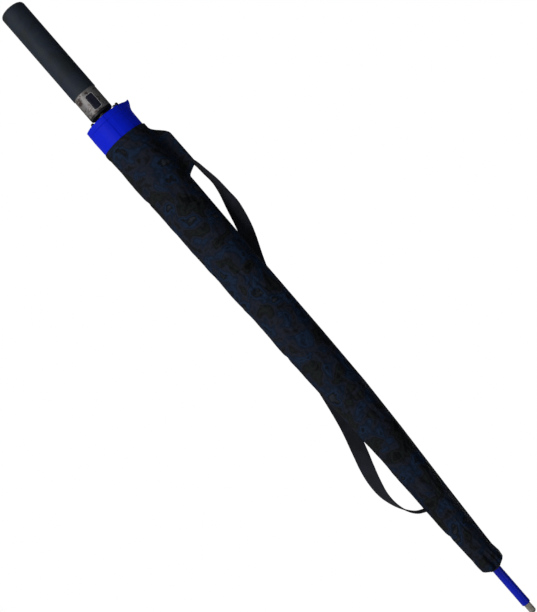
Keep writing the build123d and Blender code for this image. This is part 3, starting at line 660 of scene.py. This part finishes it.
route = smooth_route(STRAP_ROUTE, STRAP_STEPS)
strap_rows, strap_uv, walked = [], [], 0.0
EDGE_PROFILE = [
    (-1, .0), (-.985, .38), (-.93, .5), (-.6, .46), (-.2, .5), (.2, .46), (.6, .5), (.93, .5), (.985, .38),
    (1, .0), (.985, -.38), (.93, -.5), (.6, -.46), (.2, -.5), (-.2, -.46), (-.6, -.5), (-.93, -.5),
    (-.985, -.38)]
for n, (x, y, h, turned) in enumerate(route):
    here = Vector((x * MM, y * MM, mouth_z + h * MM))
    before, after = route[max(n - 1, 0)], route[min(n + 1, len(route) - 1)]
    along = Vector(after[:3] - before[:3]).normalized()
    edge_on = (Vector((0, 1, 0)) - along * along.y).normalized()
    flat = edge_on.cross(along).normalized()
    a = math.radians(turned)
    wide = edge_on * math.cos(a) + flat * math.sin(a)
    thin = along.cross(wide)
    walked += 0 if n == 0 else float(np.linalg.norm(route[n][:3] - route[n - 1][:3])) * MM
    strap_rows.append([here + wide * (STRAP_HALF * w) + thin * (STRAP_THICK * t) for w, t in EDGE_PROFILE])
    strap_uv.append([(w * STRAP_HALF, walked) for w, _ in EDGE_PROFILE])
strap_points = [[tuple(p) for p in row] for row in strap_rows]
strap = sheet_mesh("strap", strap_points, ring=True, uv=strap_uv, capped=True)
print(f"strap {walked:.3f} m long, {2 * STRAP_HALF * 1000:.0f} mm wide")
strap.data.materials.append(webbing)
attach(strap, "sleeve")
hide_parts("shoulder_strap")

# %% [markdown]
# ## The canopy's gores
# Each gore is sewn along one rib and reaches to the next. Closed, its cloth is folded into the narrow space
# between them. Opened, its far edge has to land on the next rib, but this script builds the sheet only in its
# closed shape. The columns are spaced by the inverse of a smooth step, and the spacing uses the fold's full
# width at the hem for every row: with each row's own width an opened far edge would fall short of the next rib
# and leave a hole.

# %% The shape of a folded gore
SEAM_OFFSET = 0.0050
CANOPY_CLOTH = 0.00035
GORE_BILLOW = 0.0009
HEM_SWELL = 0.0046
HEM_FOLD = 0.0080
HEM_FOLD_PROUD = 0.00035
GORE_TOP = 0.003
RIB_COLUMNS = 12
SPREAD_COLUMNS = 26
SPIKE_WIDTH = 0.0036
# How far each rib's corner of the hem stands down past the edge, and how far it flares out.
CORNER_DOWN = {1: .0016, 5: .0014}
CORNER_OUT = {1: -.0026, 5: .0054}
OTHER_CORNERS = (.0003, .0)
HEM_UP = 0.0015
LAP = 0.0006


def unsmooth(w):
    """The inverse of the smooth step t * t * (3 - 2 t)."""
    return 0.5 - math.sin(math.asin(1 - 2 * min(max(w, 0.0), 1.0)) / 3)


def seam_radius(s):
    """Radius of a closed rib's seam, s along the rib. The cloth stands out below the sleeve's mouth."""
    swell = HEM_SWELL * float(smooth_step(rib_length - 0.058, rib_length - 0.032, s))
    return ring_r + s * math.sin(lean) + SEAM_OFFSET * math.cos(lean) + swell


HALF_CHORD = math.sin(STEP / 2)
chord_start = seam_radius(0) * HALF_CHORD
chord_end = seam_radius(rib_length) * HALF_CHORD
gore_rows = np.concatenate([
    np.linspace(GORE_TOP, rib_length - 0.054, 46), np.linspace(rib_length - 0.050, rib_length - 0.0125, 20),
    rib_length - HEM_UP - HEM_FOLD + np.array([-.0004, .0004]),
    np.linspace(rib_length - 0.0095, rib_length - HEM_UP, 10)])


def corner(n, sizes, other):
    """A corner's size at rib n, counted round."""
    return sizes.get((n - 1) % RIBS + 1, other)


def gore_points(n):
    """Rows of points of gore n at rest, and the flat cloth's own coordinates."""
    middle = (n - 0.5) * STEP
    out = Vector((math.cos(middle), math.sin(middle), 0))
    side = Vector((-math.sin(middle), math.cos(middle), 0))
    rows, flat = [], []
    for s in gore_rows:
        radius = seam_radius(s)
        share = s / rib_length
        first = -radius * HALF_CHORD - LAP
        chords = [(first + (chord_start - first) * k / RIB_COLUMNS, 0.0) for k in range(RIB_COLUMNS)]
        for k in range(SPREAD_COLUMNS + 1):
            q = k / SPREAD_COLUMNS
            chords.append((chord_start + (chord_end - chord_start) * unsmooth(q * share), q))
        last = chords[-1][0]
        at_hem = float(smooth_step(rib_length - 0.017, rib_length - HEM_UP, s)) ** 1.5
        fold = HEM_FOLD_PROUD * float(s > rib_length - HEM_UP - HEM_FOLD)
        puffed = 1 - 0.95 * float(smooth_step(rib_length - 0.050, rib_length - 0.030, s))
        row, row_flat = [], []
        for y, q in chords:
            t = min(max((y - first) / (last - first), 0), 1)
            near = math.exp(-t * (last - first) / SPIKE_WIDTH)
            far = math.exp(-(1 - t) * (last - first) / SPIKE_WIDTH)
            ends = ((near, n), (far, n + 1))
            down_by = sum(part * corner(rib, CORNER_DOWN, OTHER_CORNERS[0]) for part, rib in ends)
            out_by = sum(part * corner(rib, CORNER_OUT, OTHER_CORNERS[1]) for part, rib in ends)
            base = math.sqrt(max(radius ** 2 - y * y, 0))
            puff = GORE_BILLOW * math.sin(math.pi * t) ** 0.6 + 0.0003 * math.sin(5 * math.pi * t + 9 * share)
            puff = puff * puffed - 0.0003 * (t == 0)
            down = (s + down_by * at_hem) * math.cos(lean) - SEAM_OFFSET * math.sin(lean)
            place = out * (base + puff + out_by * at_hem + fold) + side * y
            row.append(place + Vector((0, 0, notch_z - down)))
            row_flat.append((q * 2 * s * HALF_CHORD * math.sin(math.radians(70)), s))
        rows.append([tuple(p) for p in row])
        flat.append(row_flat)
    return rows, flat, side


# %% Sew the gores
gores = []
for n in range(1, RIBS + 1):
    rows, flat, side = gore_points(n)
    name = f"gore_{n}"
    gore = sheet_mesh(f"canopy_{name}", rows, uv=flat)
    thicken(gore, CANOPY_CLOTH)
    gore.data.materials.append(canopy_blue)
    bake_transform(gore)
    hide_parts(name)
    gores.append(gore)
print(f"{len(gores)} gores, seam radius at the hem {seam_radius(rib_length):.4f} m")

# %% [markdown]
# ## The beads at the corners
# Each corner of the canopy ends in a small black plastic bead, which slips over the rib's tip and keeps the
# cloth tight. It is a ball with a short neck, turned like a bead on a lathe, and it rides on its rib.

# %% Corner beads
BEAD_PROFILE = [
    (0, -.0026), (.0011, -.0024), (.0019, -.0016), (.0022, -.0004), (.0020, .0008), (.0013, .0017),
    (.0012, .0030), (.0012, .0046), (0, .0048)]
BEAD_SIDES = 20
BEAD_OUT = {6: .0302}
BEAD_IN = 0.0252
BEAD_LIFT = 0.0004


def bead(n):
    """The bead at rib n's corner."""
    at = (n - 1) * STEP
    middle = Vector((math.cos(at), math.sin(at), 0)) * BEAD_OUT.get(n, BEAD_IN)
    rows = []
    for r, h in BEAD_PROFILE:
        ring = [(2 * math.pi * k / BEAD_SIDES) for k in range(BEAD_SIDES)]
        z = rib_tip_z + BEAD_LIFT + h
        rows.append([(middle.x + r * math.cos(a), middle.y + r * math.sin(a), z) for a in ring])
    piece = sheet_mesh(f"corner_bead_{n}", rows, ring=True)
    weld(piece)
    piece.data.materials.append(black_plastic)
    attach(piece, f"rib_{n}")
    return piece


beads = [bead(n) for n in range(1, RIBS + 1)]
print(len(beads), "beads")

# %% The closing tab
tab_low, tab_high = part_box("closure_tab")
TAB_ROWS = 24
TAB_CLOTH = 0.0008
tab_rows = []
for k in range(TAB_ROWS):
    z = tab_low.z + (tab_high.z - tab_low.z) * k / (TAB_ROWS - 1)
    end = min(k, TAB_ROWS - 1 - k) / 3
    half = (tab_high.x - tab_low.x) / 2 * min(1, math.sqrt(max(1 - (1 - min(end, 1)) ** 2, 0.05)))
    y = tab_high.y + (tab_low.y - tab_high.y) * (1 - k / (TAB_ROWS - 1))
    tab_rows.append([((tab_low.x + tab_high.x) / 2 + half * (c / 4 - 1), y, z) for c in range(9)])
tab_uv = [[(p[0], p[2]) for p in row] for row in tab_rows]
tab = sheet_mesh("tie_tab", tab_rows, uv=tab_uv)
thicken(tab, TAB_CLOTH)
tab.data.materials.append(canopy_blue)
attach(tab, "rib_7")
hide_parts("closure_tab")

# %% [markdown]
# ## The sleeve's own meshes
# The real sleeve comes off before the umbrella opens. Here each piece of the sleeve only gets its own copy of
# its mesh.

# %% Give each sleeve piece its own mesh
for piece in (sleeve, hem, hem_stitches, draw_cord, strap):
    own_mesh(piece)

# %% [markdown]
# ## Floor
# A pale disc stands well below the handle, so that it never crosses the umbrella in the picture.

# %% Floor
FLOOR_DROP = 0.5
floor_z = cad_box[0].z - FLOOR_DROP
bpy.ops.mesh.primitive_circle_add(vertices=128, radius=1.0, fill_type="NGON", location=(0, 0, floor_z))
floor = bpy.context.object
floor.name = "floor"
floor.data.materials.append(finish("pale_floor", [(.80, .80, .80), (.84, .84, .84)], 3, .8))
